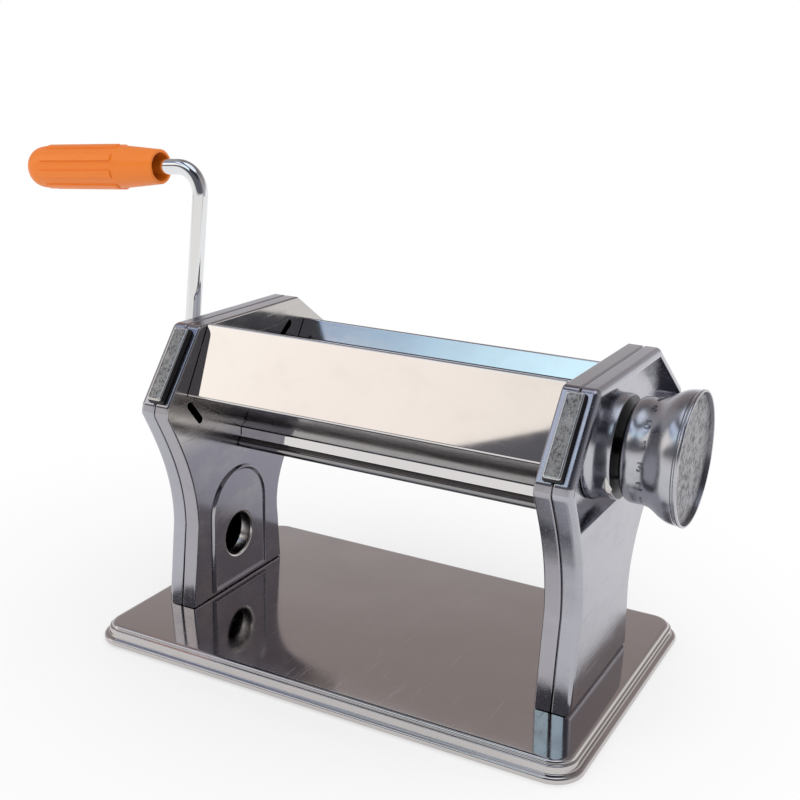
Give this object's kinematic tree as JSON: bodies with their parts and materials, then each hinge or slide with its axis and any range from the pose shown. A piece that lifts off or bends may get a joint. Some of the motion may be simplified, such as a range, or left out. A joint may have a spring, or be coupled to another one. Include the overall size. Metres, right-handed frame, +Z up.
{
  "type": "clay press machine",
  "caption": "Hand-cranked roller press for clay sheets: chromed frames on a stepped tray, two rollers, a thickness knob and a bent crank with an orange grip.",
  "frame": {"origin": "middle of the bounding box's underside, on the surface that the rubber feet stand on", "axes": "+X along the rollers towards the thickness knob, -Y towards the front, +Z up"},
  "size_m": [0.3284, 0.1458, 0.1875],
  "materials": {
    "mirror_sheet": "chromed sheet steel, mirror bright with faint brush lines",
    "satin_steel": "chromed sheet steel, slightly hazy",
    "turned_steel": "turned and polished steel",
    "dark_steel": "rough, scratched grey steel",
    "zinc_plate": "zinc plated",
    "brass": "plain turned",
    "white_nylon": "natural nylon",
    "black_rubber": "matt moulded rubber",
    "orange_plastic": "satin moulded plastic"
  },
  "bodies": {
    "body": {"base_plate": "mirror_sheet", "rubber_foot_left_front": "black_rubber", "rubber_foot_left_rear": "black_rubber", "rubber_foot_right_front": "black_rubber", "rubber_foot_right_rear": "black_rubber", "base_screw_1": "zinc_plate", "base_screw_2": "zinc_plate", "base_screw_3": "zinc_plate", "base_screw_4": "zinc_plate", "left_inner_frame": "mirror_sheet", "right_inner_frame": "mirror_sheet", "left_outer_cover": "satin_steel", "right_outer_cover": "satin_steel", "left_head_pad": "dark_steel", "right_head_pad": "dark_steel", "front_tie_rod": "turned_steel", "front_tie_rod_nut_left": "zinc_plate", "front_tie_rod_nut_right": "zinc_plate", "rear_tie_rod": "turned_steel", "rear_tie_rod_nut_left": "zinc_plate", "rear_tie_rod_nut_right": "zinc_plate", "front_guide_bar": "turned_steel", "front_guide_bar_nut_left": "zinc_plate", "front_guide_bar_nut_right": "zinc_plate", "rear_guide_bar": "turned_steel", "rear_guide_bar_nut_left": "zinc_plate", "rear_guide_bar_nut_right": "zinc_plate", "front_hood": "mirror_sheet", "rear_hood": "mirror_sheet", "front_scraper": "white_nylon", "rear_scraper": "white_nylon", "rear_roller_bearing_left": "brass", "rear_roller_bearing_right": "brass", "right_shaft_bearing": "brass", "left_shaft_bearing": "brass", "crank_bush": "turned_steel", "knob_collar": "mirror_sheet", "index_pin": "turned_steel"},
    "adjuster": {"adjuster_shaft": "turned_steel", "knob_spring": "dark_steel", "knob_nut": "zinc_plate"},
    "knob": {"regulator_knob": "mirror_sheet", "knob_end_disc": "dark_steel"},
    "roller_bushes": {"roller_bush_left": "brass", "roller_bush_right": "brass"},
    "front_roller": {"front_roller": "turned_steel", "front_gear": "zinc_plate"},
    "drive": {"rear_roller": "turned_steel", "rear_gear": "zinc_plate", "crank_rod": "turned_steel", "grip_washer": "zinc_plate"},
    "grip": {"crank_grip": "orange_plastic"}
  },
  "joints": [
    {"name": "knob_turn", "type": "hinge", "parent": "body", "child": "adjuster", "pos_m": [0.13, -0.01384, 0.1015], "axis": [1, 0, 0], "range_deg": [0, 180]},
    {"name": "knob_pull", "type": "slide", "parent": "adjuster", "child": "knob", "axis": [1, 0, 0], "range_m": [-0.0021, 0.004], "stiffness_N_per_m": 600},
    {"name": "bush_hold", "type": "hinge", "parent": "adjuster", "child": "roller_bushes", "pos_m": [0.04697, -0.01484, 0.1015], "axis": [1, 0, 0], "range_deg": [-180, 0]},
    {"name": "front_roller_turn", "type": "hinge", "parent": "roller_bushes", "child": "front_roller", "pos_m": [0.04697, -0.01484, 0.1015], "axis": [1, 0, 0], "continuous": true},
    {"name": "crank_turn", "type": "hinge", "parent": "body", "child": "drive", "pos_m": [0.04697, 0.01246, 0.1015], "axis": [1, 0, 0], "continuous": true},
    {"name": "grip_spin", "type": "hinge", "parent": "drive", "child": "grip", "pos_m": [-0.06863, 0.0227, 0.18034], "axis": [0.9976, 0.009, 0.0692], "continuous": true}
  ],
  "couplings": [
    {"joint": "bush_hold", "follows": "knob_turn", "ratio": -1},
    {"joint": "front_roller_turn", "follows": "crank_turn", "ratio": -1}
  ]
}
